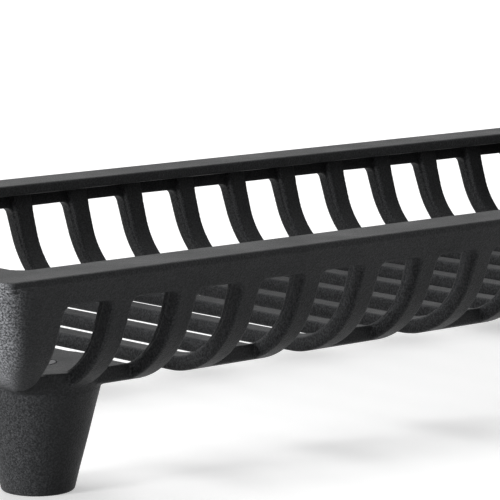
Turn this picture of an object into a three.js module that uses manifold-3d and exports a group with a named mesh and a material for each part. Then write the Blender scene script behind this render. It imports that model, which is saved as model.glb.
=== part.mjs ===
// Fireplace log grate: a sand-cast iron basket on four bolted, tapered legs.
//
// Millimetres, +Z up, +X along the grate, the front wall on the -Y side.
// The origin is on the hearth, midway between the four feet.
//
// The basket is one casting: a wide flat rim, walls that slope inwards and bend
// under in one long curve, and slots between ribs that run on as floor bars.
// Each leg is a hollow cone under a round boss of the basket. Its spigot fits up
// into a recess of the boss, and a countersunk bolt holds it, with a washer and a
// nut inside the leg.

import * as THREE from 'three';
import { mergeVertices } from 'three/addons/utils/BufferGeometryUtils.js';
import Module from 'manifold-3d';

// ---------------------------------------------------------------- dimensions

const degrees = Math.PI / 180;

// Clearances
const SEAT_GAP = 0.3; // between two parts that seat on each other
const FIT_CLEARANCE = 0.5; // radial, in the spigots' recesses
const HOLE_CLEARANCE = 0.6; // radial, round the bolts

// Slots and ribs, the same on all four walls
const SLOT_WIDTH = 31;
const RIB_WIDTH = 13;
const LONG_WALL_SLOTS = 15;
const LONG_WALL_MARGIN = 40; // plain wall from the corner to the first slot
const END_WALL_SLOTS = 5;
const END_WALL_MARGIN = 62;
const SLOT_DROP = 13; // from the parting ridge down to the slots' tops
const SLOT_TOP_RADIUS = 4;

// Rim: a flat flange all round
const RIM_WIDTH = 29;
const RIM_THICKNESS = 6.5;
const RIM_BAND = 3.4; // the rim's upright outer edge, above the parting ridge
const RIM_DRAFT = 0.8;
const RIM_CORNER_RADIUS = 6;
const RIM_OPENING_RADIUS = 9;
const FLANGE_SETBACK = 4; // the rim's lower part, in from its outer edge
const RIDGE_STEP = 0.3; // the parting ridge stands this proud of the walls

// Walls and floor
const BASKET_DEPTH = 68.3; // from the parting ridge to the underside
const PLATE_THICKNESS = 8.3;
const WALL_SLOPE = 21 * degrees; // outer face, from upright
const BEND_RADIUS = 58.4; // outer face, where the wall turns under
const RIB_SLOPE = 17 * degrees; // inner edge of the ribs, from upright
const RIB_BEND_RADIUS = 45.5; // inner edge of the ribs
const CORNER_RADIUS = 21; // in plan, just under the rim
const CORNER_RADIUS_LOSS = 0.39; // per mm that the wall runs in
const SMALLEST_CORNER_RADIUS = 7.5;
const BRIDGE_SETBACK = 45.5; // from the ridge in to the bridges' front faces
const BRIDGE_WIDTH = 21;
const FLOOR_SLOT_END_RADIUS = 4;

// Legs
const LEG_HEIGHT = 55;
const LEG_TOP_RADIUS = 33.4;
const FOOT_RADIUS = 19.3;
const LEG_WALL = 6.5;
const LEG_CROWN = 8; // thickness of the leg's closed top
const FOOT_ROUNDING = 2;
const FOOT_INNER_CHAMFER = 0.8;
const LEG_HOLLOW_FILLET = 5;
const SPIGOT_RADIUS = 18;
const SPIGOT_HEIGHT = 3;
const BOSS_HEIGHT = 13; // the basket's round bosses, from the underside up

// Countersunk bolts, M10, with a screwdriver slot
const BOLT_RADIUS = 5;
const BOLT_HEAD_RADIUS = 10;
const BOLT_HEAD_EDGE = 0.6; // upright edge round the head
const BOLT_SLOT_WIDTH = 2.2;
const BOLT_SLOT_DEPTH = 1.8;
const BOLT_OVERHANG = 3; // what stands out of the nut
const BOLT_CHAMFER = 1;
const WASHER_RADIUS = 11;
const WASHER_THICKNESS = 2;
const NUT_WIDTH = 17; // across flats
const NUT_HEIGHT = 8.4;
const NUT_CHAMFER = 0.8;

// How finely curves are divided
const SHORTEST_DETAIL = 0.02; // slivers left by the cuts are merged below this
const BEND_STEPS = 9;
const CORNER_STEPS = 5;
const SMALL_ARC_STEPS = 2;
const LEG_SEGMENTS = 40;
const BOLT_SEGMENTS = 20;

// ------------------------------------------------------------- derived sizes

const PITCH = SLOT_WIDTH + RIB_WIDTH;
const wallLength = (margin, slots) => 2 * margin + slots * PITCH - RIB_WIDTH;
const HALF_LENGTH = wallLength(LONG_WALL_MARGIN, LONG_WALL_SLOTS) / 2;
const HALF_WIDTH = wallLength(END_WALL_MARGIN, END_WALL_SLOTS) / 2;

const UNDERSIDE_Z = LEG_HEIGHT + SEAT_GAP;
const FLOOR_Z = UNDERSIDE_Z + PLATE_THICKNESS;
const RIDGE_Z = UNDERSIDE_Z + BASKET_DEPTH;
const RIM_TOP_Z = RIDGE_Z + RIM_BAND;
const RIM_UNDERSIDE_Z = RIM_TOP_Z - RIM_THICKNESS;
const SLOT_TOP_Z = RIDGE_Z - SLOT_DROP;

// A leg's axis lies under the long walls' first rib, as far in from both ridges.
const LEG_INSET = LONG_WALL_MARGIN + SLOT_WIDTH + RIB_WIDTH / 2;
const LEG_TAPER = (LEG_TOP_RADIUS - FOOT_RADIUS) / LEG_HEIGHT;
const BOSS_TOP_Z = UNDERSIDE_Z + BOSS_HEIGHT;
const HEAD_EDGE_Z = BOSS_TOP_Z - BOLT_HEAD_EDGE; // the heads are flush with the bosses
const HEAD_BASE_Z = HEAD_EDGE_Z - (BOLT_HEAD_RADIUS - BOLT_RADIUS);
const BEYOND = 20; // how far cutting solids run past what they cut

// The outer face's bend: its centre, measured in from the ridge and up from the hearth.
const BEND_CENTRE_Z = UNDERSIDE_Z + BEND_RADIUS;
const BEND_CENTRE_INSET =
  BEND_RADIUS * Math.cos(WALL_SLOPE) +
  (RIDGE_Z - BEND_CENTRE_Z + BEND_RADIUS * Math.sin(WALL_SLOPE)) * Math.tan(WALL_SLOPE);

// ------------------------------------------------------------------ booleans

const wasm = await Module();
wasm.setup();

function solidOf(geometry) {
  const bare = geometry.clone();
  bare.deleteAttribute('normal');
  bare.deleteAttribute('uv');
  const merged = mergeVertices(bare);
  const vertProperties = new Float32Array(merged.attributes.position.array);
  const triVerts = new Uint32Array(merged.index.array);
  return new wasm.Manifold(new wasm.Mesh({ numProp: 3, vertProperties, triVerts }));
}

function geometryOf(solid) {
  const mesh = solid.getMesh();
  const geometry = new THREE.BufferGeometry();
  geometry.setAttribute('position', new THREE.BufferAttribute(mesh.vertProperties, 3));
  geometry.setIndex(new THREE.BufferAttribute(mesh.triVerts, 1));
  geometry.computeVertexNormals();
  return geometry;
}

const unionOf = (solids) => solids.reduce((sum, solid) => sum.add(solid));

// -------------------------------------------------------------------- shapes

// A box between two corners.
function box(low, high) {
  const size = high.map((value, axis) => value - low[axis]);
  const middle = high.map((value, axis) => (value + low[axis]) / 2);
  return solidOf(new THREE.BoxGeometry(...size).translate(...middle));
}

// A solid of revolution about the Z axis from [radius, z] points. The profile
// starts and ends on the axis, or closes on itself, and runs clockwise as seen
// with the axis on its left, so that the faces point outwards.
function turned(profile, segments) {
  const points = profile.map(([radius, z]) => new THREE.Vector2(radius, z));
  return new THREE.LatheGeometry(points, segments).rotateX(Math.PI / 2);
}

// Points of an arc from one angle to another, both ends included.
function arc(centre, radius, from, to, steps) {
  return Array.from({ length: steps + 1 }, (_, step) => {
    const angle = from + ((to - from) * step) / steps;
    return [centre[0] + radius * Math.cos(angle), centre[1] + radius * Math.sin(angle)];
  });
}

// One level of the basket: a rectangle with rounded corners, set in from the
// ridge's outline by the inset, its points anticlockwise from above.
function basketOutline(inset, radius) {
  const reachX = HALF_LENGTH - inset - radius;
  const reachY = HALF_WIDTH - inset - radius;
  const centres = [
    [reachX, reachY],
    [-reachX, reachY],
    [-reachX, -reachY],
    [reachX, -reachY],
  ];
  const quarter = Math.PI / 2;
  return centres.flatMap((centre, corner) =>
    arc(centre, radius, corner * quarter, (corner + 1) * quarter, CORNER_STEPS),
  );
}

// A closed skin through levels of { inset, radius, z }, listed from the bottom up.
function lofted(levels) {
  const rings = levels.map(({ inset, radius }) => basketOutline(inset, radius));
  const around = rings[0].length;
  const positions = rings.flatMap((ring, level) => ring.flatMap(([x, y]) => [x, y, levels[level].z]));
  const bottomCentre = positions.length / 3;
  const topCentre = bottomCentre + 1;
  positions.push(0, 0, levels[0].z, 0, 0, levels.at(-1).z);
  const topRing = (levels.length - 1) * around;
  const index = [];
  for (let side = 0; side < around; side += 1) {
    const next = (side + 1) % around;
    for (let base = 0; base < topRing; base += around) {
      const above = base + around;
      index.push(base + side, base + next, above + next);
      index.push(base + side, above + next, above + side);
    }
    index.push(bottomCentre, next, side);
    index.push(topCentre, topRing + side, topRing + next);
  }
  const geometry = new THREE.BufferGeometry();
  geometry.setAttribute('position', new THREE.Float32BufferAttribute(positions, 3));
  geometry.setIndex(index);
  return solidOf(geometry);
}

// A prism through the walls: upright sides, with corners rounded to a radius at its
// top and to another at its bottom. It runs along Y from yStart to yEnd.
function slotPrism(centreX, width, bottomZ, topZ, topRadius, bottomRadius, yStart, yEnd) {
  const left = centreX - width / 2;
  const right = centreX + width / 2;
  const quarter = Math.PI / 2;
  const shape = new THREE.Shape();
  shape.moveTo(left + bottomRadius, bottomZ);
  shape.lineTo(right - bottomRadius, bottomZ);
  shape.absarc(right - bottomRadius, bottomZ + bottomRadius, bottomRadius, -quarter, 0);
  shape.lineTo(right, topZ - topRadius);
  shape.absarc(right - topRadius, topZ - topRadius, topRadius, 0, quarter);
  shape.lineTo(left + topRadius, topZ);
  shape.absarc(left + topRadius, topZ - topRadius, topRadius, quarter, 2 * quarter);
  shape.lineTo(left, bottomZ + bottomRadius);
  shape.absarc(left + bottomRadius, bottomZ + bottomRadius, bottomRadius, 2 * quarter, 3 * quarter);
  const options = { depth: yEnd - yStart, bevelEnabled: false, curveSegments: SMALL_ARC_STEPS };
  return new THREE.ExtrudeGeometry(shape, options).rotateX(Math.PI / 2).translate(0, yEnd, 0);
}

// ------------------------------------------------------------- basket casting

const cornerRadiusAt = (inset) =>
  Math.max(CORNER_RADIUS - CORNER_RADIUS_LOSS * inset, SMALLEST_CORNER_RADIUS);

// The levels of a bowl whose wall slopes in and then turns under with a bend,
// from its lowest level up to the given height.
function bowlLevels(bend, slope, topZ) {
  const along = arc([bend.inset, bend.z], bend.radius, -Math.PI / 2, slope - Math.PI, BEND_STEPS);
  const [tangentInset, tangentZ] = along.at(-1);
  const topInset = tangentInset - (topZ - tangentZ) * Math.tan(slope);
  return [...along, [topInset, topZ]].map(([inset, z]) => ({
    inset,
    radius: cornerRadiusAt(inset),
    z,
  }));
}

function outerBowl() {
  const bend = { inset: BEND_CENTRE_INSET, z: BEND_CENTRE_Z, radius: BEND_RADIUS };
  const levels = bowlLevels(bend, WALL_SLOPE, RIDGE_Z);
  levels.at(-1).inset += RIDGE_STEP;
  const insideRim = { inset: RIM_DRAFT + RIDGE_STEP, radius: CORNER_RADIUS, z: RIDGE_Z + RIM_BAND / 2 };
  return lofted([...levels, insideRim]);
}

// The hollow inside the plates that close the corners and run under the rim.
function plateHollow() {
  const radius = BEND_RADIUS - PLATE_THICKNESS;
  const bend = { inset: BEND_CENTRE_INSET, z: BEND_CENTRE_Z, radius };
  return lofted(bowlLevels(bend, WALL_SLOPE, RIM_TOP_Z + BEYOND));
}

// The hollow inside the ribs, which stand further in than the plates.
function ribHollow() {
  const bend = { inset: BEND_CENTRE_INSET, z: FLOOR_Z + RIB_BEND_RADIUS, radius: RIB_BEND_RADIUS };
  return lofted(bowlLevels(bend, RIB_SLOPE, RIM_TOP_Z + BEYOND));
}

function rim() {
  const outside = lofted([
    { inset: 0, radius: RIM_CORNER_RADIUS, z: RIDGE_Z },
    { inset: RIM_DRAFT, radius: RIM_CORNER_RADIUS - RIM_DRAFT, z: RIM_TOP_Z },
  ]);
  const flangeInset = RIM_DRAFT + FLANGE_SETBACK;
  const flange = lofted([
    { inset: flangeInset, radius: CORNER_RADIUS, z: RIM_UNDERSIDE_Z },
    { inset: flangeInset, radius: CORNER_RADIUS, z: RIDGE_Z + RIM_BAND / 2 },
  ]);
  const opening = { inset: RIM_DRAFT + RIM_WIDTH, radius: RIM_OPENING_RADIUS };
  const mouth = lofted([
    { ...opening, z: RIM_UNDERSIDE_Z - BEYOND },
    { ...opening, z: RIM_TOP_Z + BEYOND },
  ]);
  return outside.add(flange).subtract(mouth);
}

const slotCentres = (slots) =>
  Array.from({ length: slots }, (_, slot) => (slot - (slots - 1) / 2) * PITCH);

const ribCentres = (slots) =>
  Array.from({ length: slots - 1 }, (_, rib) => (rib - (slots - 2) / 2) * PITCH);

// Blocks that hold the ribs of the long walls and of the end walls.
function ribBlocks() {
  const half = RIB_WIDTH / 2;
  const longWalls = ribCentres(LONG_WALL_SLOTS).map((x) =>
    box([x - half, -HALF_WIDTH, UNDERSIDE_Z], [x + half, HALF_WIDTH, RIDGE_Z]),
  );
  const endWalls = ribCentres(END_WALL_SLOTS).map((y) =>
    box([-HALF_LENGTH, y - half, UNDERSIDE_Z], [HALF_LENGTH, y + half, RIDGE_Z]),
  );
  return unionOf([...longWalls, ...endWalls]);
}

const toEndWall = (geometry) => geometry.rotateZ(Math.PI / 2);

// Openings in the long walls and the floor. The odd slots between the corners run
// under the grate from front to back; the others are crossed by a bridge at the
// floor behind each wall.
function longWallCuts() {
  const reach = HALF_WIDTH + BEYOND;
  const low = UNDERSIDE_Z - BEYOND;
  const bridge = HALF_WIDTH - BRIDGE_SETBACK;
  const wallSlot = (x, from, to) =>
    slotPrism(x, SLOT_WIDTH, low, SLOT_TOP_Z, SLOT_TOP_RADIUS, 0, from, to);
  return slotCentres(LONG_WALL_SLOTS).flatMap((x, slot) => {
    const overLeg = slot === 0 || slot === LONG_WALL_SLOTS - 1;
    if (slot % 2 === 0 && !overLeg) {
      return [wallSlot(x, -reach, reach)];
    }
    const ends = [wallSlot(x, -reach, -bridge), wallSlot(x, bridge, reach)];
    return overLeg ? ends : [...ends, floorSlot(x, bridge - BRIDGE_WIDTH)];
  });
}

// A floor slot between two bridges, with rounded corners in plan.
function floorSlot(centreX, halfLength) {
  const radius = FLOOR_SLOT_END_RADIUS;
  const prism = slotPrism(0, SLOT_WIDTH, -halfLength, halfLength, radius, radius, -BEYOND, BEYOND);
  return prism.rotateX(-Math.PI / 2).translate(centreX, 0, FLOOR_Z);
}

// Openings in the end walls, which run in under the floor to the first bar.
function endWallCuts() {
  const reach = HALF_LENGTH + BEYOND;
  const low = UNDERSIDE_Z - BEYOND;
  const firstBar = HALF_LENGTH - LONG_WALL_MARGIN - SLOT_WIDTH;
  const cut = (y, from, to) =>
    toEndWall(slotPrism(y, SLOT_WIDTH, low, SLOT_TOP_Z, SLOT_TOP_RADIUS, 0, from, to));
  return slotCentres(END_WALL_SLOTS).flatMap((y) => [cut(y, -reach, -firstBar), cut(y, firstBar, reach)]);
}

// Where the four legs stand.
const legPlaces = [
  { name: 'front_left', x: -(HALF_LENGTH - LEG_INSET), y: -(HALF_WIDTH - LEG_INSET) },
  { name: 'front_right', x: HALF_LENGTH - LEG_INSET, y: -(HALF_WIDTH - LEG_INSET) },
  { name: 'back_left', x: -(HALF_LENGTH - LEG_INSET), y: HALF_WIDTH - LEG_INSET },
  { name: 'back_right', x: HALF_LENGTH - LEG_INSET, y: HALF_WIDTH - LEG_INSET },
];

// The leg's cone carried on up into the basket as a solid boss with a flat top.
function legBoss({ x, y }) {
  const profile = [
    [0, UNDERSIDE_Z],
    [LEG_TOP_RADIUS, UNDERSIDE_Z],
    [LEG_TOP_RADIUS + LEG_TAPER * BOSS_HEIGHT, BOSS_TOP_Z],
    [0, BOSS_TOP_Z],
  ];
  return solidOf(turned(profile, LEG_SEGMENTS).translate(x, y, 0));
}

// The recess for the leg's spigot, and above it the countersunk hole for the bolt,
// whose 45 degree seat lies a seat gap off the head's cone.
function legFixing({ x, y }) {
  const recessTop = UNDERSIDE_Z + SPIGOT_HEIGHT;
  const hole = BOLT_RADIUS + HOLE_CLEARANCE;
  const mouth = BOLT_HEAD_RADIUS + HOLE_CLEARANCE;
  const seatRise = HOLE_CLEARANCE - SEAT_GAP * Math.SQRT2;
  const profile = [
    [0, UNDERSIDE_Z - BEYOND],
    [SPIGOT_RADIUS + FIT_CLEARANCE, UNDERSIDE_Z - BEYOND],
    [SPIGOT_RADIUS + FIT_CLEARANCE, recessTop],
    [hole, recessTop],
    [hole, HEAD_BASE_Z + seatRise],
    [mouth, HEAD_EDGE_Z + seatRise],
    [mouth, BOSS_TOP_Z + BEYOND],
    [0, BOSS_TOP_Z + BEYOND],
  ];
  return solidOf(turned(profile, LEG_SEGMENTS).translate(x, y, 0));
}

function basket() {
  const outer = outerBowl();
  const plates = outer.subtract(plateHollow());
  const ribs = ribBlocks().intersect(outer).subtract(ribHollow());
  const cuts = [...longWallCuts(), ...endWallCuts()].map(solidOf);
  const walls = plates.add(ribs).subtract(unionOf(cuts));
  const whole = unionOf([walls, rim(), ...legPlaces.map(legBoss)]);
  return whole.subtract(unionOf(legPlaces.map(legFixing))).simplify(SHORTEST_DETAIL);
}

// ---------------------------------------------------------------------- legs

function legProfile() {
  const quarter = Math.PI / 2;
  const hollowTop = LEG_HEIGHT - LEG_CROWN;
  const innerFoot = FOOT_RADIUS - LEG_WALL;
  const innerTop = innerFoot + LEG_TAPER * hollowTop;
  const hole = BOLT_RADIUS + HOLE_CLEARANCE;
  const footCentre = [FOOT_RADIUS - FOOT_ROUNDING, FOOT_ROUNDING];
  const hollowCentre = [innerTop - LEG_HOLLOW_FILLET, hollowTop - LEG_HOLLOW_FILLET];
  return [
    [hole, LEG_HEIGHT + SPIGOT_HEIGHT],
    [hole, hollowTop],
    ...arc(hollowCentre, LEG_HOLLOW_FILLET, quarter, 0, SMALL_ARC_STEPS),
    [innerFoot, FOOT_INNER_CHAMFER],
    [innerFoot + FOOT_INNER_CHAMFER, 0],
    ...arc(footCentre, FOOT_ROUNDING, -quarter, 0, SMALL_ARC_STEPS + 1),
    [LEG_TOP_RADIUS, LEG_HEIGHT],
    [SPIGOT_RADIUS, LEG_HEIGHT],
    [SPIGOT_RADIUS, LEG_HEIGHT + SPIGOT_HEIGHT],
    [hole, LEG_HEIGHT + SPIGOT_HEIGHT],
  ];
}

// ------------------------------------------------------------------ fasteners

const WASHER_TOP_Z = LEG_HEIGHT - LEG_CROWN - SEAT_GAP;
const NUT_TOP_Z = WASHER_TOP_Z - WASHER_THICKNESS - SEAT_GAP;
const NUT_BOTTOM_Z = NUT_TOP_Z - NUT_HEIGHT;
const BOLT_END_Z = NUT_BOTTOM_Z - BOLT_OVERHANG;

// A countersunk bolt: a flat slotted head over a 90 degree cone, and a round shank.
function boltSolid() {
  const profile = [
    [0, BOLT_END_Z],
    [BOLT_RADIUS - BOLT_CHAMFER, BOLT_END_Z],
    [BOLT_RADIUS, BOLT_END_Z + BOLT_CHAMFER],
    [BOLT_RADIUS, HEAD_BASE_Z],
    [BOLT_HEAD_RADIUS, HEAD_EDGE_Z],
    [BOLT_HEAD_RADIUS, BOSS_TOP_Z],
    [0, BOSS_TOP_Z],
  ];
  const half = BOLT_SLOT_WIDTH / 2;
  const reach = BOLT_HEAD_RADIUS + BEYOND;
  const bottom = BOSS_TOP_Z - BOLT_SLOT_DEPTH;
  const slot = box([-reach, -half, bottom], [reach, half, BOSS_TOP_Z + BEYOND]);
  return solidOf(turned(profile, BOLT_SEGMENTS)).subtract(slot);
}

function washerGeometry() {
  const hole = BOLT_RADIUS + SEAT_GAP;
  const bottom = WASHER_TOP_Z - WASHER_THICKNESS;
  const profile = [
    [hole, bottom],
    [WASHER_RADIUS, bottom],
    [WASHER_RADIUS, WASHER_TOP_Z],
    [hole, WASHER_TOP_Z],
    [hole, bottom],
  ];
  return turned(profile, BOLT_SEGMENTS);
}

// A hexagon nut: a six-sided prism whose corners are turned off by a chamfer.
function nutSolid() {
  const corner = NUT_WIDTH / 2 / Math.cos(Math.PI / 6);
  const hole = BOLT_RADIUS + SEAT_GAP;
  const prism = new THREE.CylinderGeometry(corner, corner, NUT_HEIGHT, 6).rotateX(Math.PI / 2);
  prism.translate(0, 0, (NUT_TOP_Z + NUT_BOTTOM_Z) / 2);
  const turning = turned(
    [
      [hole, NUT_BOTTOM_Z],
      [corner - NUT_CHAMFER, NUT_BOTTOM_Z],
      [corner, NUT_BOTTOM_Z + NUT_CHAMFER / 2],
      [corner, NUT_TOP_Z - NUT_CHAMFER / 2],
      [corner - NUT_CHAMFER, NUT_TOP_Z],
      [hole, NUT_TOP_Z],
      [hole, NUT_BOTTOM_Z],
    ],
    BOLT_SEGMENTS,
  );
  return solidOf(prism).intersect(solidOf(turning));
}

// ------------------------------------------------------------------- assembly

const castIron = { color: 0x2b2c2e, roughness: 0.55, metalness: 0.3 };
const blackSteel = { color: 0x3a3a3c, roughness: 0.4, metalness: 0.8 };

function part(name, geometry, finish) {
  const mesh = new THREE.Mesh(geometry, new THREE.MeshStandardMaterial(finish));
  mesh.name = name;
  return mesh;
}

const grate = new THREE.Group();
grate.add(part('basket', geometryOf(basket()), castIron));

const legGeometry = turned(legProfile(), LEG_SEGMENTS);
const boltGeometry = geometryOf(boltSolid());
const nutGeometry = geometryOf(nutSolid());
for (const { name, x, y } of legPlaces) {
  const corner = new THREE.Group();
  corner.position.set(x, y, 0);
  corner.add(part(`leg_${name}`, legGeometry, castIron));
  corner.add(part(`leg_bolt_${name}`, boltGeometry, blackSteel));
  corner.add(part(`washer_${name}`, washerGeometry(), blackSteel));
  corner.add(part(`nut_${name}`, nutGeometry, blackSteel));
  grate.add(corner);
}

export default grate;
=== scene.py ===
"""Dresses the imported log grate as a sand-cast iron basket in black stove paint.

Each piece is a surface worked out with numpy in millimetres, in the CAD frame
(+Z up, +X along the grate, the front wall on the -Y side), and put into its
mesh in metres.
"""

import math

import bpy
import numpy as np
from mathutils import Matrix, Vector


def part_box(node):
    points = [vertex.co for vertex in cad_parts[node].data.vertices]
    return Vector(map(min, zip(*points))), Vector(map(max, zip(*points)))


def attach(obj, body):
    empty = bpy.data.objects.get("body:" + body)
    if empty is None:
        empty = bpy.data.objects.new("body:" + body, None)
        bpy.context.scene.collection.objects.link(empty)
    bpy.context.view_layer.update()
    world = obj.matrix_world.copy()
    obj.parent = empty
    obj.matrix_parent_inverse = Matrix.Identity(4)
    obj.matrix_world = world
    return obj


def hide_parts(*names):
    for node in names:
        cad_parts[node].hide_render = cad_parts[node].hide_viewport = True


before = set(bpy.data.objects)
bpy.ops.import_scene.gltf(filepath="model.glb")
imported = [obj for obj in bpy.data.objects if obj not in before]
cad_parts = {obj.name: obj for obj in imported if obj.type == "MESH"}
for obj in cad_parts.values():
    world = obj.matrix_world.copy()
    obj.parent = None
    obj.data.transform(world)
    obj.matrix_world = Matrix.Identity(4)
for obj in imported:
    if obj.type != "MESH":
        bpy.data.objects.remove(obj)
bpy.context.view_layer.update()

# ------------------------------------------------------------ sizes of the grate

MM = 0.001  # metres in a millimetre

basket_low, basket_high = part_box("basket")
HALF_LENGTH = basket_high.x / MM
HALF_WIDTH = basket_high.y / MM
UNDERSIDE_Z = basket_low.z / MM
RIM_TOP_Z = basket_high.z / MM

# Slots and ribs
SLOT_WIDTH = 31.0
RIB_WIDTH = 13.0
PITCH = SLOT_WIDTH + RIB_WIDTH
LONG_WALL_SLOTS = 15
LONG_WALL_MARGIN = 40.0
END_WALL_SLOTS = 5
SLOT_DROP = 13.0
SLOT_TOP_RADIUS = 4.0
BRIDGE_SETBACK = 45.5
BRIDGE_WIDTH = 21.0
FLOOR_SLOT_END_RADIUS = 4.0
SLOT_OVERRUN = 40.0  # how far the cutting shapes of wall slots go below the underside
FLOOR_SLOT_REACH = 30.0  # and those of floor slots above the floor

# Rim
RIM_WIDTH = 29.0
RIM_THICKNESS = 6.5
RIM_BAND = 3.4
RIM_DRAFT = 0.8
RIM_CORNER_RADIUS = 6.0
RIM_OPENING_RADIUS = 9.0
RIDGE_STEP = 0.3
FLANGE_INSET = RIM_DRAFT + 4.0
WALL_INTO_RIM = 0.6  # how far the walls run up past the ridge
RIDGE_Z = RIM_TOP_Z - RIM_BAND
RIM_UNDERSIDE_Z = RIM_TOP_Z - RIM_THICKNESS
SLOT_TOP_Z = RIDGE_Z - SLOT_DROP

# Walls and floor
PLATE_THICKNESS = 8.3
WALL_SLOPE = math.radians(21)
BEND_RADIUS = 58.4
RIB_SLOPE = math.radians(17)
RIB_BEND_RADIUS = 45.5
CORNER_RADIUS = 21.0
CORNER_RADIUS_LOSS = 0.39
SMALLEST_CORNER_RADIUS = 7.5
FLOOR_Z = UNDERSIDE_Z + PLATE_THICKNESS
BEND_CENTRE_Z = UNDERSIDE_Z + BEND_RADIUS
BEND_CENTRE_INSET = BEND_RADIUS * math.cos(WALL_SLOPE) + (
    RIDGE_Z - BEND_CENTRE_Z + BEND_RADIUS * math.sin(WALL_SLOPE)
) * math.tan(WALL_SLOPE)

# Legs and their fixings
LEG_INSET = LONG_WALL_MARGIN + SLOT_WIDTH + RIB_WIDTH / 2
LEG_TOP_RADIUS = 33.4
FOOT_RADIUS = 19.3
SEAT_GAP = 0.3  # between the leg's top and the underside
LEG_HEIGHT = UNDERSIDE_Z - SEAT_GAP
LEG_WALL = 6.5
LEG_CROWN = 8.0
FOOT_ROUNDING = 2.0
LEG_HOLLOW_FILLET = 5.0
LEG_LIP = 1.2  # a thin lip round the leg's top, up over the basket's rounded edge
SPIGOT_RADIUS = 18.0
SPIGOT_HEIGHT = 3.0
SPIGOT_CLEARANCE = 0.5
BOSS_TOP_Z = UNDERSIDE_Z + 13.0
BOLT_HOLE_RADIUS = 5.6
BOLT_MOUTH_RADIUS = 10.6
BOLT_MOUTH_LAND = 0.4  # height of the straight edge above the countersink's cone
LEG_TAPER = (LEG_TOP_RADIUS - FOOT_RADIUS) / LEG_HEIGHT
LEG_PLACES = {
    "front_left": (LEG_INSET - HALF_LENGTH, LEG_INSET - HALF_WIDTH),
    "front_right": (HALF_LENGTH - LEG_INSET, LEG_INSET - HALF_WIDTH),
    "back_left": (LEG_INSET - HALF_LENGTH, HALF_WIDTH - LEG_INSET),
    "back_right": (HALF_LENGTH - LEG_INSET, HALF_WIDTH - LEG_INSET),
}

# Roundings that a sand mould leaves on a casting
EDGE_ROUNDING = 1.4
RIM_ROUNDING = 1.0
FILLET = 1.9
BOSS_ROUNDING = 0.7
BOSS_FILLET = 1.0
SHARP = 0.01  # a fillet too small to show
FAR_AWAY = 1e3  # a distance in mm that no part of the grate has

# Skin
WAVE_LENGTHS = (60.0, 43.0, 34.0, 27.0, 22.0, 18.0)
WAVE_STEEPNESS = 0.0011  # height of a wave over its length
WAVE_SEED = 4
LARGEST_PHASE = 6.28
LEG_WAVES_START = 4.0  # up from the leg's foot
LEG_WAVES_END = 2.0  # down from the leg's top
LEG_WAVES_FADE = 8.0  # the length over which they grow to their full height
GRAIN_AND_LIGHT_FACING_START = 0.35  # the share of a normal along the grate where the grain and the painted light begin
GRAIN_AND_LIGHT_FACING_RANGE = 0.45  # and how much more gives all of it
RIB_SIDE_GRAIN_AND_LIGHT = 0.12  # how much of the end walls' coarse grain and painted light the ribs' sides have
LEG_GRAIN_AND_LIGHT = 0.8  # and the legs

# Meshes
CELL = 1.2  # spacing of the grid that the casting's surface is found on
CELLS_BELOW, CELLS_BEYOND = 2.2, 2.5  # how far that grid goes past the casting
MIRROR_SNAP = 0.35 * CELL  # points nearer to a mirror plane are put on it
WELD_DECIMALS = 4
WANTED_TRIANGLES = 190000
LEG_SEGMENTS = 96
LEG_SPACING = 2.5
ARC_STEPS = 6
CORNER_CLEARANCE = 0.02  # how far a straight's points stay off its far corner

# ------------------------------------------------- distance fields of the basket


def rounded_and(first, second, radius):
    """Distance to what two shapes share, the edge between them rounded to a radius."""
    beyond = np.hypot(np.maximum(first + radius, 0), np.maximum(second + radius, 0))
    return np.minimum(-radius, np.maximum(first, second)) + beyond


def filleted_or(first, second, radius):
    """Distance to two shapes joined, the corner between them filled to a radius."""
    within = np.hypot(np.maximum(radius - first, 0), np.maximum(radius - second, 0))
    return np.maximum(radius, np.minimum(first, second)) - within


def wall_inset(a, b, radius):
    """How far in from the ridge's outline a point lies, in plan.

    a and b are its distances in from the end ridge and the long ridge. Outlines
    at one inset are rectangles whose corners are arcs of the given radius, so near
    a corner the arc's centre lies at (inset + radius) on both, and the point's
    distance from that centre is the radius.
    """
    on_corner = np.abs(a - b) < radius
    root = np.sqrt(np.maximum(2 * radius * radius - (a - b) ** 2, 0))
    return np.where(on_corner, (a + b + root) / 2 - radius, np.minimum(a, b))


def bowl_inset(a, b):
    """wall_inset with a corner radius that shrinks as the wall runs in."""
    inset = np.minimum(a, b)
    for _ in range(3):
        radius = np.maximum(CORNER_RADIUS - CORNER_RADIUS_LOSS * inset, SMALLEST_CORNER_RADIUS)
        inset = wall_inset(a, b, radius)
    return inset


def bend_distance(inset, z, centre_z, radius, slope):
    """Distance outside a sloping wall that turns under in an arc to a flat floor.

    The arc's centre is at BEND_CENTRE_INSET and centre_z. Beside it the floor is
    flat, and above the arc's end the wall is a straight line at the slope.
    """
    across, up = inset - BEND_CENTRE_INSET, z - centre_z
    wall = -math.cos(slope) * across - math.sin(slope) * up - radius
    bend = np.hypot(across, up) - radius
    on_wall = math.sin(slope) * across - math.cos(slope) * up < 0
    return np.where(across > 0, -up - radius, np.where(on_wall, wall, bend))


def rounded_box(u, v, half_u, half_v, radius):
    """Distance to a rectangle with rounded corners, centred on zero."""
    du, dv = np.abs(u) - half_u + radius, np.abs(v) - half_v + radius
    outside = np.hypot(np.maximum(du, 0), np.maximum(dv, 0))
    return outside + np.minimum(np.maximum(du, dv), 0) - radius


def nearest_offset(position, count):
    """Signed distance to the nearest of a centred row of places at the pitch, and the
    number of that place from 0."""
    first = -(count - 1) / 2
    index = np.clip(np.round(position / PITCH - first), 0, count - 1)
    return position - (index + first) * PITCH, index


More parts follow.
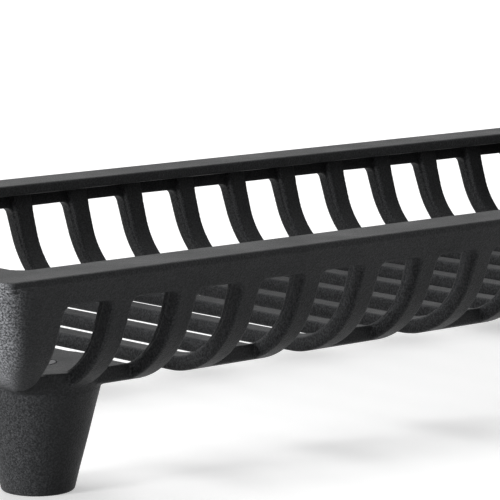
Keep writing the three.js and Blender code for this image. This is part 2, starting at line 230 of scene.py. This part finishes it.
def slot_distance(along, z, slots):
    """Distance to the nearest upright slot of a wall, in the wall's own plane, and the
    slot's number."""
    offset, index = nearest_offset(along, slots)
    low = UNDERSIDE_Z - SLOT_OVERRUN
    middle, half = (SLOT_TOP_Z + low) / 2, (SLOT_TOP_Z - low) / 2
    return rounded_box(offset, z - middle, SLOT_WIDTH / 2, half, SLOT_TOP_RADIUS), index


def basket_distance(points):
    """Distance outside the basket casting, which is alike in all four quarters.

    The plate between the outer bend and the inner one is joined with the ribs, the
    slots are cut from both, and then the bosses and the rim are added with fillets.
    Last come the spigot's recess and the countersunk bolt hole of each boss.
    """
    x, y, z = np.abs(points[..., 0]), np.abs(points[..., 1]), points[..., 2]
    a, b = HALF_LENGTH - x, HALF_WIDTH - y
    inset = bowl_inset(a, b)
    wall = bend_distance(inset, z, BEND_CENTRE_Z, BEND_RADIUS, WALL_SLOPE)
    inside_plate = -(wall + PLATE_THICKNESS)
    hollow = bend_distance(inset, z, FLOOR_Z + RIB_BEND_RADIUS, RIB_BEND_RADIUS, RIB_SLOPE)
    below_rim = z - (RIDGE_Z + WALL_INTO_RIM)
    step = RIDGE_STEP * np.clip((z - SLOT_TOP_Z) / SLOT_DROP, 0, 1)
    skin = np.maximum(wall + step, below_rim)

    plate = np.maximum(skin, inside_plate)
    rib_x, _ = nearest_offset(x, LONG_WALL_SLOTS - 1)
    rib_y, _ = nearest_offset(y, END_WALL_SLOTS - 1)
    blocks = np.minimum(np.abs(rib_x), np.abs(rib_y)) - RIB_WIDTH / 2
    ribs = np.maximum(rounded_and(blocks, -hollow, EDGE_ROUNDING), skin)
    body = np.minimum(plate, ribs)

    long_slot, index = slot_distance(x, z, LONG_WALL_SLOTS)
    middle_slot = (LONG_WALL_SLOTS - 1) / 2
    runs_on = (index % 2 == 0) & (np.abs(index - middle_slot) < middle_slot)
    bridge = np.where(runs_on, FAR_AWAY, BRIDGE_SETBACK)
    long_slot = rounded_and(long_slot, b - bridge, EDGE_ROUNDING)
    half_floor_slot = HALF_WIDTH - BRIDGE_SETBACK - BRIDGE_WIDTH
    offset, _ = nearest_offset(x, LONG_WALL_SLOTS)
    floor_slot = rounded_box(offset, y, SLOT_WIDTH / 2, half_floor_slot, FLOOR_SLOT_END_RADIUS)
    floor_slot = np.where(index % 2 == 1, floor_slot, FAR_AWAY)
    floor_slot = np.maximum(floor_slot, z - FLOOR_Z - FLOOR_SLOT_REACH)
    end_slot, _ = slot_distance(y, z, END_WALL_SLOTS)
    end_slot = rounded_and(end_slot, a - LONG_WALL_MARGIN - SLOT_WIDTH, EDGE_ROUNDING)
    cuts = np.minimum(np.minimum(long_slot, floor_slot), end_slot)
    body = rounded_and(body, -cuts, EDGE_ROUNDING)

    leg_axis = np.hypot(a - LEG_INSET, b - LEG_INSET)
    cone = leg_axis - LEG_TOP_RADIUS - LEG_TAPER * (z - UNDERSIDE_Z)
    boss = rounded_and(cone * math.cos(math.atan(LEG_TAPER)), z - BOSS_TOP_Z, BOSS_ROUNDING)
    body = filleted_or(body, np.maximum(boss, UNDERSIDE_Z - z), BOSS_FILLET)

    edge = wall_inset(a, b, RIM_CORNER_RADIUS)
    draft = RIM_DRAFT * (z - RIDGE_Z) / RIM_BAND
    slab = np.maximum(draft - edge, RIDGE_Z - z)
    flange = np.maximum(FLANGE_INSET - edge, RIM_UNDERSIDE_Z - z)
    mouth = wall_inset(a, b, RIM_OPENING_RADIUS) - RIM_DRAFT - RIM_WIDTH
    rim = rounded_and(np.minimum(slab, flange), mouth, RIM_ROUNDING)
    rim = rounded_and(rim, z - RIM_TOP_Z, RIM_ROUNDING)
    whole = filleted_or(body, rim, np.where(inset > FLANGE_INSET, FILLET, SHARP))

    recess_side = leg_axis - SPIGOT_RADIUS - SPIGOT_CLEARANCE
    recess = np.maximum(recess_side, z - UNDERSIDE_Z - SPIGOT_HEIGHT)
    sunk = leg_axis - BOLT_MOUTH_RADIUS - np.minimum(z - BOSS_TOP_Z + BOLT_MOUTH_LAND, 0)
    hole = np.minimum(leg_axis - BOLT_HOLE_RADIUS, sunk / math.sqrt(2))
    return np.maximum(whole, -np.minimum(recess, hole))


# --------------------------------------------------------------- surface finding


def gradient(field, points, step=0.15):
    """Unit gradient of a distance field, from differences half a step either way."""
    result = np.empty_like(points)
    for axis in range(3):
        shift = np.zeros(3)
        shift[axis] = step
        result[..., axis] = field(points + shift) - field(points - shift)
    length = np.linalg.norm(result, axis=-1, keepdims=True)
    return result / np.maximum(length, 1e-9)


def surface_net(field, low, counts, cell):
    """Vertices and quads where a field is zero.

    One vertex stands in each grid cell that the surface crosses, at the mean of
    the crossings on the cell's edges, moved onto the surface along the gradient.
    One quad spans the four cells round each grid edge that the surface crosses.
    """
    axes = [low[i] + cell * np.arange(counts[i]) for i in range(3)]
    grid = np.stack(np.meshgrid(*axes, indexing="ij"), axis=-1)
    values = field(grid)
    inside = values < 0
    cells = tuple(n - 1 for n in counts)
    total, crossings = np.zeros(cells + (3,)), np.zeros(cells)
    quads = []
    for axis in range(3):
        lower = [slice(None)] * 3
        upper = [slice(None)] * 3
        lower[axis], upper[axis] = slice(None, -1), slice(1, None)
        lower, upper = tuple(lower), tuple(upper)
        crossed = inside[lower] != inside[upper]
        span = np.where(crossed, values[lower] - values[upper], 1.0)
        place = grid[lower].copy()
        place[..., axis] += cell * np.where(crossed, values[lower] / span, 0)
        weight = crossed.astype(float)
        side_one, side_two = [i for i in range(3) if i != axis]
        for one in (0, 1):
            for two in (0, 1):
                cut = [slice(None)] * 3
                cut[side_one] = slice(one, one + cells[side_one])
                cut[side_two] = slice(two, two + cells[side_two])
                cut = tuple(cut)
                total += place[cut] * weight[cut][..., None]
                crossings += weight[cut]
        quads.append((axis, crossed, inside[lower]))
    used = crossings > 0
    number = np.full(cells, -1)
    number[used] = np.arange(used.sum())
    points = total[used] / crossings[used][:, None]
    for _ in range(3):
        points = points - gradient(field, points) * field(points)[:, None]
    faces = []
    for axis, crossed, starts_inside in quads:
        one, two = (axis + 1) % 3, (axis + 2) % 3
        at = np.argwhere(crossed)
        keep = (at[:, one] > 0) & (at[:, two] > 0)
        keep &= (at[:, one] < counts[one] - 1) & (at[:, two] < counts[two] - 1)
        at = at[keep]
        flip = ~starts_inside[tuple(at.T)]
        corners = []
        for d_one, d_two in ((-1, -1), (0, -1), (0, 0), (-1, 0)):
            cell_at = at.copy()
            cell_at[:, one] += d_one
            cell_at[:, two] += d_two
            corners.append(number[tuple(cell_at.T)])
        quad = np.stack(corners, axis=1)
        quad[flip] = quad[flip][:, ::-1]
        faces.append(quad)
    return points, np.concatenate(faces)


def casting_waviness(points):
    """Height in mm of the shallow, slow unevenness of a sand casting's faces: a sum
    of sine waves in fixed directions, each WAVE_STEEPNESS times as high as long."""
    rng = np.random.default_rng(WAVE_SEED)
    height = np.zeros(points.shape[:-1])
    for length in WAVE_LENGTHS:
        direction = rng.normal(size=3)
        direction *= 2 * math.pi / length / np.linalg.norm(direction)
        phase = rng.uniform(0, LARGEST_PHASE)
        height += WAVE_STEEPNESS * length * np.sin(points @ direction + phase)
    return height


def grain_and_painted_light_share(points, normals):
    """How coarse the skin looks, and how much of the lighter grey with painted glints and painted
    light it gets, from 0 to 1. Faces that look along the grate lay against the sand of the mould's
    ends and came out rough; the lighter grey on them is partly painted light, as from a lamp at the
    side: the end walls' outer skin most, and the sides of the ribs and the bosses less. The rest
    are smoother."""
    facing = np.abs(normals[:, 0]) - GRAIN_AND_LIGHT_FACING_START
    facing = np.clip(facing / GRAIN_AND_LIGHT_FACING_RANGE, 0, 1)
    smooth = facing * facing * (3 - 2 * facing)
    in_from_end = HALF_LENGTH - np.abs(points[:, 0])
    in_from_side = HALF_WIDTH - np.abs(points[:, 1])
    outward = normals[:, 0] * points[:, 0] > 0
    from_leg = np.hypot(in_from_end - LEG_INSET, in_from_side - LEG_INSET)
    boss_radius = LEG_TOP_RADIUS + LEG_TAPER * (BOSS_TOP_Z - UNDERSIDE_Z)
    on_boss = from_leg < boss_radius + BOSS_FILLET
    on_boss &= points[:, 2] < BOSS_TOP_Z + BOSS_FILLET
    on_end_wall = outward & (in_from_end < BEND_CENTRE_INSET) & ~on_boss
    return smooth * np.where(on_end_wall, 1.0, RIB_SIDE_GRAIN_AND_LIGHT)


# --------------------------------------------------------------------- mesh making


def add_piece(name, points, faces, normals, material, node, grain_and_light_strength=1.0):
    """A mesh object from points in mm, with smooth shading by its own normals. The last argument is
    the share of the sand's grain, and of the lighter grey with painted glints and painted light,
    that its skin shows."""
    mesh = bpy.data.meshes.new(name)
    mesh.from_pydata((points * MM).tolist(), [], faces.tolist())
    mesh.polygons.foreach_set("use_smooth", np.ones(len(mesh.polygons), dtype=bool))
    # the share of grain bumps, and of the lighter grey with painted glints and painted light
    grain = grain_and_light_strength * grain_and_painted_light_share(points, normals)
    attribute = mesh.attributes.new("painted_light_and_grain", "FLOAT", "POINT")
    attribute.data.foreach_set("value", grain.astype(np.float32))
    mesh.normals_split_custom_set_from_vertices(normals.tolist())
    mesh.materials.append(material)
    piece = bpy.data.objects.new(name, mesh)
    bpy.context.scene.collection.objects.link(piece)
    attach(piece, "root")
    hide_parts(node)
    return piece


def waved(points, normals):
    """Points moved out along their normals by the waviness, and the normals turned
    by its slope along the surface."""
    step = 0.5
    slope = np.empty_like(points)
    for axis in range(3):
        shift = np.zeros(3)
        shift[axis] = step
        rise = casting_waviness(points + shift) - casting_waviness(points - shift)
        slope[:, axis] = rise / (2 * step)
    slope -= np.sum(slope * normals, axis=1, keepdims=True) * normals
    turned = normals - slope
    turned /= np.linalg.norm(turned, axis=1, keepdims=True)
    return points + normals * casting_waviness(points)[:, None], turned


def thinned(points, faces, ratio):
    """The same surface with fewer triangles, fewest where it is flat."""
    mesh = bpy.data.meshes.new("thinning")
    mesh.from_pydata(points.tolist(), [], faces.tolist())
    helper = bpy.data.objects.new("thinning", mesh)
    bpy.context.scene.collection.objects.link(helper)
    thin = helper.modifiers.new("thin", "DECIMATE")
    thin.ratio = ratio
    thin.use_collapse_triangulate = True
    result = helper.evaluated_get(bpy.context.evaluated_depsgraph_get()).to_mesh()
    co = np.empty(len(result.vertices) * 3)
    result.vertices.foreach_get("co", co)
    corners = np.empty(len(result.polygons) * 3, dtype=np.int64)
    result.polygons.foreach_get("vertices", corners)
    bpy.data.objects.remove(helper)
    bpy.data.meshes.remove(mesh)
    return co.reshape(-1, 3), corners.reshape(-1, 3)


def all_four_quarters(points, faces):
    """A quarter that ends on the planes x = 0 and y = 0, mirrored across both, with
    the points on those planes shared."""
    points = points.copy()
    for axis in (0, 1):
        points[np.abs(points[:, axis]) < MIRROR_SNAP, axis] = 0
    corners, sides = [], []
    for count, (sx, sy) in enumerate(((1, 1), (-1, 1), (-1, -1), (1, -1))):
        corners.append(points * (sx, sy, 1))
        sides.append((faces if sx * sy > 0 else faces[:, ::-1]) + count * len(points))
    corners, sides = np.concatenate(corners), np.concatenate(sides)
    _, first, same = np.unique(
        # adding zero turns -0.0 into 0.0, so that both count as one point
        np.round(corners, WELD_DECIMALS) + 0.0,
        axis=0,
        return_index=True,
        return_inverse=True,
    )
    sides = same.reshape(-1)[sides]
    one, two, three = sides.T
    return corners[first], sides[(one != two) & (two != three) & (one != three)]


def build_basket(material):
    """The basket: one quarter of basket_distance's surface, thinned, mirrored twice
    and given the casting's waviness, with its top kept flat."""
    low = np.array([-CELL / 2, -CELL / 2, UNDERSIDE_Z - CELLS_BELOW * CELL])
    high = np.array([HALF_LENGTH, HALF_WIDTH, RIM_TOP_Z]) + CELLS_BEYOND * CELL
    counts = tuple(int(n) for n in np.ceil((high - low) / CELL) + 1)
    points, faces = surface_net(basket_distance, low, counts, CELL)
    triangles = 2 * len(faces)
    points, faces = thinned(points, faces, WANTED_TRIANGLES / 4 / triangles)
    points, faces = all_four_quarters(points, faces)
    normals = gradient(basket_distance, points)
    points, normals = waved(points, normals)
    points[:, 2] = np.minimum(points[:, 2], RIM_TOP_Z)
    return add_piece("cast_basket", points, faces, normals, material, "basket")


def revolved(profile, segments, place):
    """A closed ring of faces: a closed outline in radius and height, carried round an
    upright axis that stands at a place."""
    profile = np.array(profile)
    angles = np.linspace(0, 2 * math.pi, segments, endpoint=False)
    rings = np.stack(
        [
            profile[:, None, 0] * np.cos(angles) + place[0],
            profile[:, None, 0] * np.sin(angles) + place[1],
            profile[:, None, 1] + 0 * angles,
        ],
        axis=-1,
    )
    rows = len(profile)
    i, j = np.meshgrid(np.arange(rows), np.arange(segments), indexing="ij")
    ring, next_ring = i * segments, (i + 1) % rows * segments
    on = (j + 1) % segments
    faces = np.stack([ring + j, ring + on, next_ring + on, next_ring + j], axis=-1)
    return rings.reshape(-1, 3), faces.reshape(-1, 4)


def face_normals_at_points(points, faces):
    """Mean of the normals of the faces round each point, weighted by area."""
    one = points[faces[:, 2]] - points[faces[:, 0]]
    two = points[faces[:, 3]] - points[faces[:, 1]]
    cross = np.cross(one, two)
    normals = np.zeros_like(points)
    for corner in range(faces.shape[1]):
        np.add.at(normals, faces[:, corner], cross)
    return normals / np.maximum(np.linalg.norm(normals, axis=1, keepdims=True), 1e-12)


def rounded_outline(corners, spacing):
    """A closed outline through (radius, height, rounding) corners, each corner an arc
    of its rounding, and the straights divided at the spacing."""
    outline = []
    count = len(corners)
    for index, (radius, height, rounding) in enumerate(corners):
        here = np.array([radius, height])
        back = np.array(corners[index - 1][:2]) - here
        on = np.array(corners[(index + 1) % count][:2]) - here
        back_length, on_length = np.linalg.norm(back), np.linalg.norm(on)
        back, on = back / back_length, on / on_length
        half = math.acos(np.clip(back @ on, -1, 1)) / 2
        reach = rounding / math.tan(half)
        centre = here + (back + on) / np.linalg.norm(back + on) * rounding / math.sin(half)
        start, end = here + back * reach, here + on * reach
        first = math.atan2(*(start - centre)[::-1])
        sweep = (math.atan2(*(end - centre)[::-1]) - first + math.pi) % (2 * math.pi) - math.pi
        angles = first + sweep * np.linspace(0, 1, ARC_STEPS + 1)
        outline += [centre + rounding * np.array([math.cos(t), math.sin(t)]) for t in angles]
        next_rounding = corners[(index + 1) % count][2]
        gap = on_length - reach
        pieces = max(int(gap / spacing), 1)
        far = here + on * (on_length - CORNER_CLEARANCE * min(gap, 1))
        shortened = 1 - next_rounding / max(gap, next_rounding * 2)
        stops = np.linspace(0, 1, pieces + 1)[1:-1]
        outline += [end + (far - end) * stop * shortened for stop in stops]
    return outline


def build_leg(name, place, material):
    """A leg: an outline carried round the leg's axis. The outline goes from the bolt
    hole down inside the hollow, round the foot, up the outer cone and over the lip to
    the spigot. Faces wider out than the spigot's recess have the casting's waviness,
    faded towards the foot and the top."""
    crown = LEG_HEIGHT - LEG_CROWN
    inner_foot = FOOT_RADIUS - LEG_WALL
    inner_top = inner_foot + LEG_TAPER * crown
    corners = [  # radius, height and rounding
        (BOLT_HOLE_RADIUS, crown, 0.3),
        (inner_top, crown, LEG_HOLLOW_FILLET),
        (inner_foot, 0.0, 0.8),
        (FOOT_RADIUS, 0.0, FOOT_ROUNDING),
        (LEG_TOP_RADIUS + LEG_TAPER * LEG_LIP, LEG_HEIGHT + LEG_LIP, 0.15),
        (LEG_TOP_RADIUS - LEG_LIP, LEG_HEIGHT + LEG_LIP, 0.15),
        (LEG_TOP_RADIUS - LEG_LIP, LEG_HEIGHT, 0.15),
        (SPIGOT_RADIUS, LEG_HEIGHT, 0.2),
        (SPIGOT_RADIUS, LEG_HEIGHT + SPIGOT_HEIGHT, 0.6),
        (BOLT_HOLE_RADIUS, LEG_HEIGHT + SPIGOT_HEIGHT, 0.3),
    ]
    points, faces = revolved(rounded_outline(corners, LEG_SPACING), LEG_SEGMENTS, place)
    if faces_point_in(points, faces, place):
        faces = faces[:, ::-1]
    normals = face_normals_at_points(points, faces)
    moved, turned = waved(points, normals)
    from_axis = np.hypot(points[:, 0] - place[0], points[:, 1] - place[1])
    height = points[:, 2]
    fade_in = np.clip((height - LEG_WAVES_START) / LEG_WAVES_FADE, 0, 1)
    fade_out = np.clip((LEG_HEIGHT - LEG_WAVES_END - height) / LEG_WAVES_FADE, 0, 1)
    wide_out = from_axis > SPIGOT_RADIUS + SPIGOT_CLEARANCE
    share = (wide_out * fade_in * fade_out)[:, None]
    points = points + (moved - points) * share
    normals = normals + (turned - normals) * share
    return add_piece(
        f"cast_leg_{name}",
        points,
        faces,
        normals,
        material,
        f"leg_{name}",
        grain_and_light_strength=LEG_GRAIN_AND_LIGHT,
    )


def faces_point_in(points, faces, place):
    """Whether a closed ring's faces enclose a negative volume."""
    p = points - np.array([place[0], place[1], 0])
    a, b, c, d = (p[faces[:, k]] for k in range(4))
    volume = np.sum(a * np.cross(b, c)) + np.sum(a * np.cross(c, d))
    return volume < 0


# ----------------------------------------------------------------------- materials

BUMP_DISTANCE = 0.00045  # metres

def linear(hex_colour):
    """An sRGB hex colour as linear RGBA."""
    channels = [int(hex_colour[i : i + 2], 16) / 255 for i in (1, 3, 5)]
    return [c / 12.92 if c <= 0.04045 else ((c + 0.055) / 1.055) ** 2.4 for c in channels] + [1.0]


def add_node(tree, kind, settings=None, **inputs):
    """Adds a node with its settings, and sets or links its inputs. An input goes by
    its name, or by an underscore and its number."""
    node = tree.nodes.new(kind)
    for key, value in (settings or {}).items():
        setattr(node, key, value)
    for key, value in inputs.items():
        by_number = key[1:].isdigit()
        socket = node.inputs[int(key[1:]) if by_number else key.replace("_", " ")]
        if isinstance(value, bpy.types.NodeSocket):
            tree.links.new(value, socket)
        else:
            socket.default_value = value
    return node


def noise_scale(size):
    """Scale of a noise whose features are a size in mm."""
    return 1000 / size


def new_material(name):
    """A material with an empty node tree, and that tree."""
    material = bpy.data.materials.new(name)
    material.use_nodes = True
    tree = material.node_tree
    tree.nodes.clear()
    return material, tree


def black_stove_paint_on_sand_cast_iron():
    """Cast iron as it left a sand mould, brushed with thin black stove paint. The paint is graphite
    with little binder, so its sheen is low. It leaves the sand's grain standing as bumps and pits.
    Rough faces are coloured a lighter grey with painted glints on the grains' peaks, and on the
    faces that look along the grate this grey is partly painted light; the other faces get a soft
    mottle of the same painted glints."""
    material, tree = new_material("black stove paint on sand cast iron")
    place = add_node(tree, "ShaderNodeTexCoord").outputs["Object"]
    grain_and_light_share = add_node(
        tree, "ShaderNodeAttribute", {"attribute_name": "painted_light_and_grain"}
    ).outputs["Fac"]
    # sand grains of 0.5 mm, drawn as clusters of 1 mm so that they show
    grains = add_node(
        tree, "ShaderNodeTexNoise", Vector=place, Scale=noise_scale(1.0), Detail=2.0, Roughness=0.7
    ).outputs["Fac"]
    # lumps of 6 mm where the sand gave way
    lumps = add_node(
        tree, "ShaderNodeTexNoise", Vector=place, Scale=noise_scale(6), Detail=2.0, Roughness=0.5
    ).outputs["Fac"]
    # cloudy patches of 35 mm where the brush laid more paint
    patches = add_node(
        tree, "ShaderNodeTexNoise", Vector=place, Scale=noise_scale(35), Detail=3.0
    ).outputs["Fac"]

    grain_height = add_node(
        tree, "ShaderNodeMapRange", Value=grain_and_light_share, _3=0.9, _4=1.2
    ).outputs["Result"]
    grain_bump = add_node(
        tree, "ShaderNodeMath", {"operation": "MULTIPLY"}, _0=grains, _1=grain_height
    ).outputs[0]
    height = add_node(
        tree, "ShaderNodeMath", {"operation": "MULTIPLY_ADD"}, _0=lumps, _1=0.8, _2=grain_bump
    ).outputs[0]
    bump = add_node(
        tree, "ShaderNodeBump", Strength=1.0, Distance=BUMP_DISTANCE, Height=height
    ).outputs["Normal"]

    # painted glints: the peaks of the sand grains are coloured pale grey, standing in for light
    # caught on them
    painted_glints = add_node(
        tree, "ShaderNodeMapRange", Value=grains, _1=0.40, _2=0.68, _3=0.0, _4=1.0
    ).outputs["Result"]
    paint = add_node(
        tree,
        "ShaderNodeMix",
        {"data_type": "RGBA"},
        _0=patches,
        _6=linear("#0b0c0d"),
        _7=linear("#131415"),
    ).outputs[2]
    # the rough faces' lighter grey, with the painted glints on it; where the end walls and legs
    # face along the grate it is partly painted light
    grain_grey_with_painted_glints = add_node(
        tree,
        "ShaderNodeMix",
        {"data_type": "RGBA"},
        _0=painted_glints,
        _6=linear("#2e2f31"),
        _7=linear("#818285"),
    ).outputs[2]
    # a tenth of the lighter grey with its painted glints goes on the smooth faces too, as a fine
    # mottle
    glint_and_light_colour_share = add_node(
        tree, "ShaderNodeMapRange", Value=grain_and_light_share, _3=0.10, _4=1.0
    ).outputs["Result"]
    colour = add_node(
        tree, "ShaderNodeMix", {"data_type": "RGBA"}, _0=glint_and_light_colour_share, _6=paint, _7=grain_grey_with_painted_glints
    ).outputs[2]
    roughness = add_node(
        tree, "ShaderNodeMapRange", Value=patches, _1=0.3, _2=0.7, _3=0.46, _4=0.58
    ).outputs["Result"]
    shader = add_node(
        tree,
        "ShaderNodeBsdfPrincipled",
        Base_Color=colour,
        Roughness=roughness,
        Normal=bump,
        IOR=1.4,
        Specular_IOR_Level=0.2,
    )
    add_node(tree, "ShaderNodeOutputMaterial", Surface=shader.outputs[0])
    return material


def black_oxide_steel():
    """Machined steel fasteners with a black oxide finish: dark, smooth and even."""
    material, tree = new_material("black oxide steel")
    place = add_node(tree, "ShaderNodeTexCoord").outputs["Object"]
    # soot and wear in patches of 4 mm
    wear = add_node(
        tree, "ShaderNodeTexNoise", Vector=place, Scale=noise_scale(4), Detail=3.0
    ).outputs["Fac"]
    colour = add_node(
        tree,
        "ShaderNodeMix",
        {"data_type": "RGBA"},
        _0=wear,
        _6=linear("#2a2a2c"),
        _7=linear("#4a4a4d"),
    ).outputs[2]
    roughness = add_node(
        tree, "ShaderNodeMapRange", Value=wear, _1=0.3, _2=0.7, _3=0.32, _4=0.5
    ).outputs["Result"]
    shader = add_node(
        tree, "ShaderNodeBsdfPrincipled", Base_Color=colour, Roughness=roughness, Metallic=0.85
    )
    add_node(tree, "ShaderNodeOutputMaterial", Surface=shader.outputs[0])
    return material


# ------------------------------------------------------------------------ the grate

stove_paint = black_stove_paint_on_sand_cast_iron()
fastener_steel = black_oxide_steel()

build_basket(stove_paint)
for leg_name, leg_place in LEG_PLACES.items():
    build_leg(leg_name, leg_place, stove_paint)
    for kind in ("leg_bolt", "washer", "nut"):
        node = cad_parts[f"{kind}_{leg_name}"]
        node.data.materials.clear()
        node.data.materials.append(fastener_steel)

# ------------------------------------------------------------------- stage and light

FLOOR_HALF = 30.0  # metres, as all lengths of the stage
LIFT_STARTS, LIFT_ENDS = 0.9, 3.5
LEAST_LIFT = 0.45
WORLD_GREY = 0.2

def seen_rays(tree):
    """1 for rays that show the background: straight to the camera, or by way of a
    glossy or clear surface."""
    path = add_node(tree, "ShaderNodeLightPath")
    share = path.outputs["Is Camera Ray"]
    for kind in ("Is Glossy Ray", "Is Transmission Ray"):
        share = add_node(
            tree, "ShaderNodeMath", {"operation": "MAXIMUM"}, _0=share, _1=path.outputs[kind]
        ).outputs[0]
    return share


def stage_floor():
    """A plain pale floor. What the camera sees of it is lifted to white, and it keeps
    the grate's shadow."""
    mesh = bpy.data.meshes.new("floor")
    corners = [(FLOOR_HALF * x, FLOOR_HALF * y, 0) for x, y in ((-1, -1), (1, -1), (1, 1), (-1, 1))]
    mesh.from_pydata(corners, [], [(0, 1, 2, 3)])
    floor = bpy.data.objects.new("floor", mesh)
    bpy.context.scene.collection.objects.link(floor)
    material, tree = new_material("pale floor")
    seen = seen_rays(tree)
    diffuse = add_node(tree, "ShaderNodeBsdfDiffuse", Color=linear("#e6e6e6")).outputs[0]
    # the lamps reach less far, so the lift grows from the grate's surroundings outwards
    place = add_node(tree, "ShaderNodeTexCoord").outputs["Object"]
    away = add_node(
        tree, "ShaderNodeVectorMath", {"operation": "LENGTH"}, _0=place
    ).outputs["Value"]
    white = add_node(
        tree,
        "ShaderNodeMapRange",
        Value=away,
        _1=LIFT_STARTS,
        _2=LIFT_ENDS,
        _3=LEAST_LIFT,
        _4=1.0,
    ).outputs["Result"]
    lift = add_node(
        tree, "ShaderNodeMath", {"operation": "MULTIPLY"}, _0=seen, _1=white
    ).outputs[0]
    glow = add_node(tree, "ShaderNodeEmission", Color=linear("#ffffff"), Strength=lift).outputs[0]
    both = add_node(tree, "ShaderNodeAddShader", _0=diffuse, _1=glow).outputs[0]
    add_node(tree, "ShaderNodeOutputMaterial", Surface=both)
    mesh.materials.append(material)


def soft_lamp(name, size, place, aim, watts):
    """A square area lamp of a size in metres, turned to face a point."""
    data = bpy.data.lights.new(name, "AREA")
    data.shape = "SQUARE"
    data.size = size
    data.energy = watts
    lamp = bpy.data.objects.new(name, data)
    bpy.context.scene.collection.objects.link(lamp)
    lamp.location = place
    direction = np.array(aim) - np.array(place)
    flat = math.hypot(direction[0], direction[1])
    tilt = math.atan2(flat, -direction[2])
    turn = math.atan2(-direction[0], direction[1])
    lamp.rotation_euler = (tilt, 0, turn)


def studio_world():
    """White to the camera, and a dim even grey to everything else."""
    world = bpy.data.worlds.new("studio")
    bpy.context.scene.world = world
    world.use_nodes = True
    tree = world.node_tree
    tree.nodes.clear()
    seen = seen_rays(tree)
    strength = add_node(
        tree, "ShaderNodeMapRange", Value=seen, _3=WORLD_GREY, _4=1.0
    ).outputs["Result"]
    background = add_node(tree, "ShaderNodeBackground", Color=linear("#ffffff"), Strength=strength)
    add_node(tree, "ShaderNodeOutputWorld", Surface=background.outputs[0])


stage_floor()
studio_world()
soft_lamp("overhead", 2.4, (0.3, 0.5, 2.6), (0.0, 0.0, 0.1), 60)
soft_lamp("left side", 0.5, (-2.0, 0.1, 0.22), (-0.35, 0.0, 0.1), 48)

# --------------------------------------------------------------------------- camera

CAMERA_PLACE_MM = (-1307.2, -1395.2, 372.4)
CAMERA_HEADING = math.radians(41.87)  # from +Y towards +X
CAMERA_PITCH = math.radians(8.41)  # downwards
SENSOR_WIDTH = 36
LENS = 230.4
CLIP_END = 200

camera_data = bpy.data.cameras.new("camera")
camera_data.sensor_fit = "HORIZONTAL"
camera_data.sensor_width = SENSOR_WIDTH
camera_data.lens = LENS
camera_data.clip_end = CLIP_END
camera = bpy.data.objects.new("camera", camera_data)
bpy.context.scene.collection.objects.link(camera)
camera.location = [c * MM for c in CAMERA_PLACE_MM]
camera.rotation_euler = (math.pi / 2 - CAMERA_PITCH, 0, -CAMERA_HEADING)
bpy.context.scene.camera = camera
bpy.context.scene.view_settings.view_transform = "Standard"
